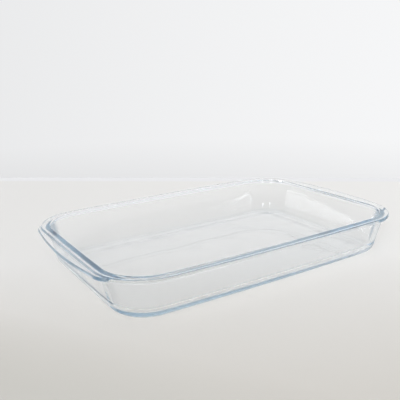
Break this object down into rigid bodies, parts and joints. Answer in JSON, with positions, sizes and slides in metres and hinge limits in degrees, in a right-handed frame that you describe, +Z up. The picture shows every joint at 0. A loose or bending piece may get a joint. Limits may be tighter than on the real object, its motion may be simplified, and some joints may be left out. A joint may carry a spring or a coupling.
{
  "type": "rectangular glass baking dish",
  "caption": "Shallow rectangular baking dish in clear pressed glass, with rounded corners, leaning walls, a flat rim and a crescent handle at each end.",
  "frame": {"origin": "on the supporting surface, under the middle of the dish", "axes": "+X along the length, through both handles; +Y across the width; +Z up, out of the opening"},
  "size_m": [0.4, 0.2584, 0.048],
  "materials": {
    "glass": "clear, smooth, fire-polished, faintly blue in thick sections"
  },
  "bodies": {
    "root": {"dish": "glass"}
  },
  "joints": []
}
